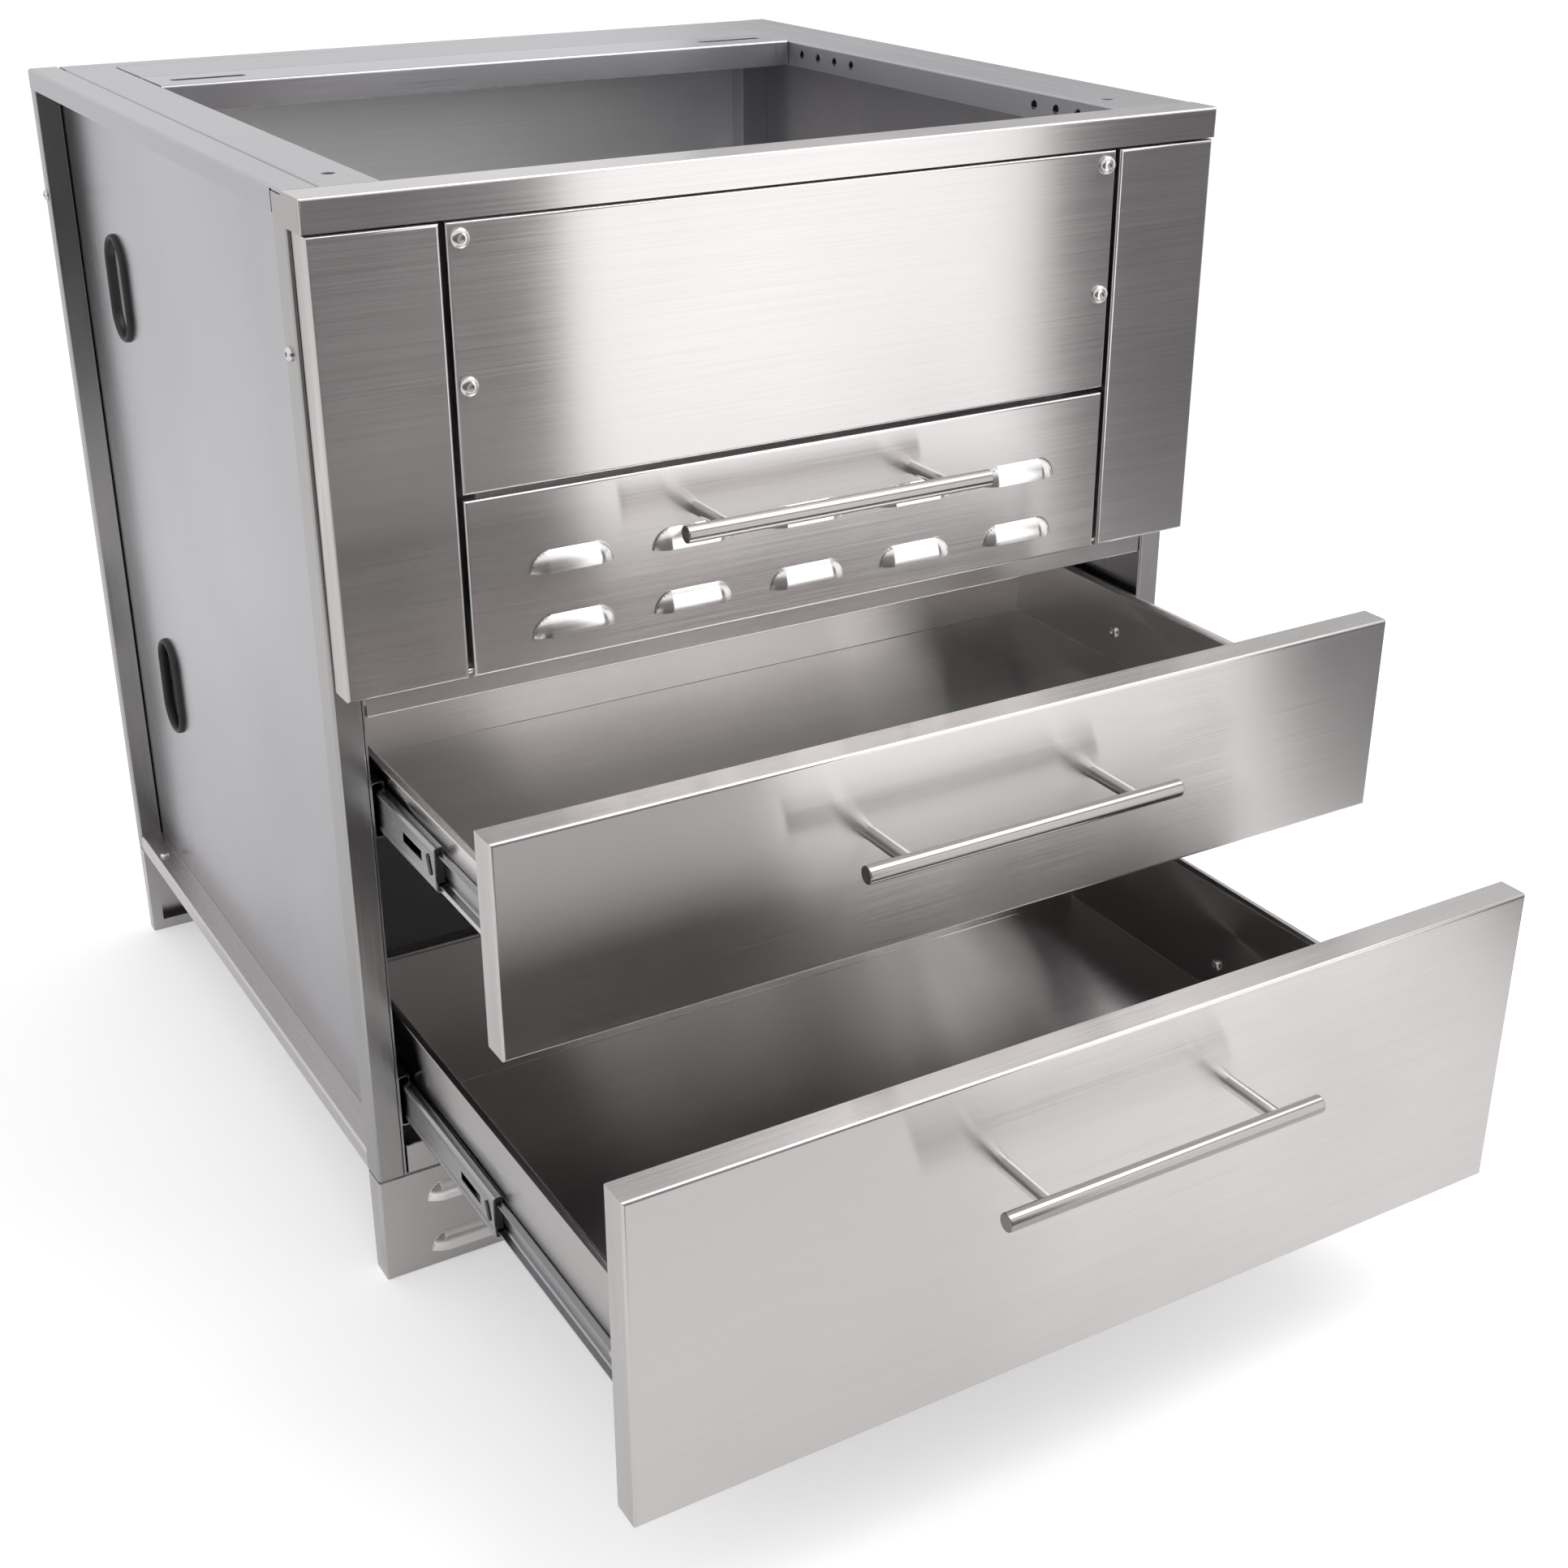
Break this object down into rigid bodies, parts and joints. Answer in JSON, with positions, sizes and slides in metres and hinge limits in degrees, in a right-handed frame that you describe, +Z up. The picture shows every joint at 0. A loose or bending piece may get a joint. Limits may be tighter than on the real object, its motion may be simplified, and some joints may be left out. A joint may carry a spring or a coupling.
{
  "type": "kamado base cabinet",
  "caption": "Folded stainless-steel base cabinet with an open well and shelf for a kamado grill, a drop-down vented door and full-extension drawers below, on kick plates.",
  "frame": {"origin": "on the floor, in the middle of the width, in the plane of the front posts' faces, on the front kick plate's foot", "axes": "+X to the cabinet's right seen from the front, +Y from the front to the back, +Z up"},
  "size_m": [0.7682, 1.1992, 0.8763],
  "materials": {
    "brushed_front": "brushed along the width",
    "frame_steel": "brushed",
    "top_steel": "satin",
    "panel_steel": "mill finish, slightly smudged",
    "box_steel": "satin",
    "inner_steel": "matte mill finish",
    "handle_steel": "turned and polished",
    "slide_zinc": "bright zinc plate",
    "screw_steel": "bright",
    "black_plastic": "moulded",
    "rubber_black": "satin rubber"
  },
  "bodies": {
    "cabinet": {"back_panel": "inner_steel", "base_panel": "inner_steel", "bottom_rail_left": "frame_steel", "bottom_rail_right": "frame_steel", "cable_grommets": "rubber_black", "corner_box_left": "inner_steel", "corner_box_right": "inner_steel", "counter_nuts": "screw_steel", "frame_screws": "screw_steel", "front_plinth": "frame_steel", "front_post_left": "frame_steel", "front_post_right": "frame_steel", "front_top_rail": "frame_steel", "grill_shelf": "inner_steel", "hinge_pins": "screw_steel", "low_front_rail": "frame_steel", "lower_slide_rails": "slide_zinc", "magnet_catches": "black_plastic", "mid_front_rail": "frame_steel", "middle_front": "brushed_front", "middle_front_screws": "screw_steel", "rear_filler": "top_steel", "rear_plinth": "frame_steel", "rear_post_left": "frame_steel", "rear_post_right": "frame_steel", "rear_rim": "top_steel", "rim_left": "top_steel", "rim_right": "top_steel", "side_front_left": "brushed_front", "side_front_right": "brushed_front", "side_panel_left": "panel_steel", "side_panel_right": "panel_steel", "slotted_rail": "frame_steel", "top_rail_left": "top_steel", "top_rail_right": "top_steel", "upper_slide_rails": "slide_zinc", "upright_left": "inner_steel", "upright_right": "inner_steel"},
    "vent_door": {"vent_door": "brushed_front", "door_handle_bar": "handle_steel", "door_handle_posts": "handle_steel"},
    "upper_middles": {"upper_slide_middles": "slide_zinc", "upper_slide_stops": "black_plastic"},
    "lower_middles": {"lower_slide_middles": "slide_zinc", "lower_slide_stops": "black_plastic"},
    "upper_drawer": {"upper_front": "brushed_front", "upper_lining": "box_steel", "upper_box": "box_steel", "upper_handle_bar": "handle_steel", "upper_handle_posts": "handle_steel", "upper_slide_runners": "slide_zinc", "upper_bolts": "screw_steel"},
    "lower_drawer": {"lower_front": "brushed_front", "lower_lining": "box_steel", "lower_box": "box_steel", "lower_handle_bar": "handle_steel", "lower_handle_posts": "handle_steel", "lower_slide_runners": "slide_zinc", "lower_bolts": "screw_steel"}
  },
  "joints": [
    {"name": "door_swing", "type": "hinge", "parent": "cabinet", "child": "vent_door", "pos_m": [0, -0.0245, 0.5295], "axis": [1, 0, 0], "range_deg": [0, 90]},
    {"name": "upper_drawer_slide", "type": "slide", "parent": "cabinet", "child": "upper_drawer", "axis": [0, -1, 0], "range_m": [-0.247, 0.159]},
    {"name": "lower_drawer_slide", "type": "slide", "parent": "cabinet", "child": "lower_drawer", "axis": [0, -1, 0], "range_m": [-0.418, 0.039]},
    {"name": "upper_middle_slide", "type": "slide", "parent": "cabinet", "child": "upper_middles", "axis": [0, -1, 0], "range_m": [-0.11471, 0.07388]},
    {"name": "lower_middle_slide", "type": "slide", "parent": "cabinet", "child": "lower_middles", "axis": [0, -1, 0], "range_m": [-0.18047, 0.01693]}
  ],
  "couplings": [
    {"joint": "upper_middle_slide", "follows": "upper_drawer_slide", "ratio": 0.464},
    {"joint": "lower_middle_slide", "follows": "lower_drawer_slide", "ratio": 0.4315}
  ]
}
